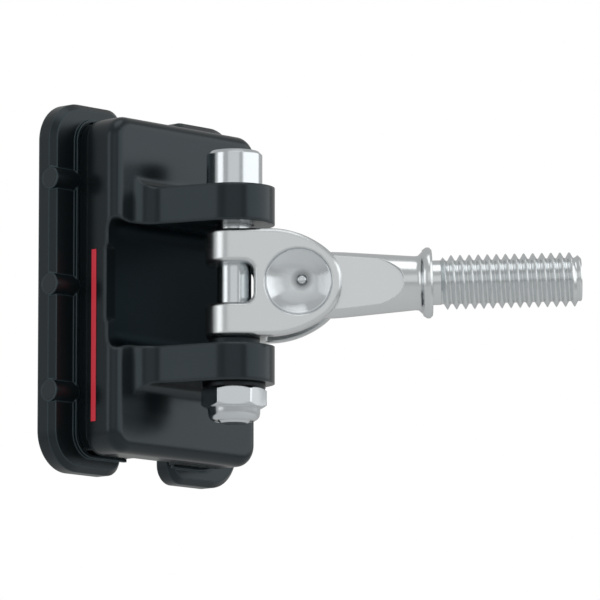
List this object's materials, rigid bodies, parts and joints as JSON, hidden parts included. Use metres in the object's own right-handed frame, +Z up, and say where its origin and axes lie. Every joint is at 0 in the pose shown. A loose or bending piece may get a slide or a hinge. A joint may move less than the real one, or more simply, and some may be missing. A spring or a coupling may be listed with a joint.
{
  "type": "batten car",
  "caption": "Ball bearing batten car for a mast track, with a clevis, a swinging toggle and a tilting threaded stud for the batten's end.",
  "frame": {"origin": "middle of the track slot's mouth, on the car's mast side", "axes": "+X out from the mast towards the clevis, +Y across the mast to the right seen from the sail, +Z up the mast"},
  "size_m": [0.0712, 0.0681, 0.065],
  "materials": {
    "anodised_body": "satin black anodised",
    "housing_plastic": "smooth moulded black",
    "cover_plastic": "smooth moulded black",
    "ball_plastic": "smooth bearing polymer",
    "pin_plastic": "smooth moulded black",
    "bolt_steel": "bright stainless",
    "nut_steel": "bright stainless",
    "insert_nylon": "natural nylon",
    "washer_steel": "bright stainless",
    "thrust_plastic": "black acetal",
    "toggle_steel": "polished stainless casting",
    "cross_pin_steel": "turned stainless",
    "stud_steel": "polished stainless",
    "red_stripe": "satin red"
  },
  "bodies": {
    "car": {"car_body": "anodised_body", "left_housing": "housing_plastic", "right_housing": "housing_plastic", "left_race_cover": "cover_plastic", "right_race_cover": "cover_plastic", "left_balls": "ball_plastic", "right_balls": "ball_plastic", "left_housing_pins": "pin_plastic", "right_housing_pins": "pin_plastic", "clevis_bolt": "bolt_steel", "nut_washer": "washer_steel", "thrust_washer": "thrust_plastic", "lock_nut": "nut_steel", "nut_insert": "insert_nylon", "side_stripe": "red_stripe"},
    "toggle": {"toggle": "toggle_steel", "cross_pin": "cross_pin_steel"},
    "stud": {"stud": "stud_steel"}
  },
  "joints": [
    {"name": "toggle_swing", "type": "hinge", "parent": "car", "child": "toggle", "pos_m": [0.02435, 0, 0], "axis": [0, 0, 1], "range_deg": [-138, 52]},
    {"name": "stud_tilt", "type": "hinge", "parent": "toggle", "child": "stud", "pos_m": [0.03251, 0.00761, 0], "axis": [-0.682, 0.7314, 0], "range_deg": [-70, 70]}
  ]
}
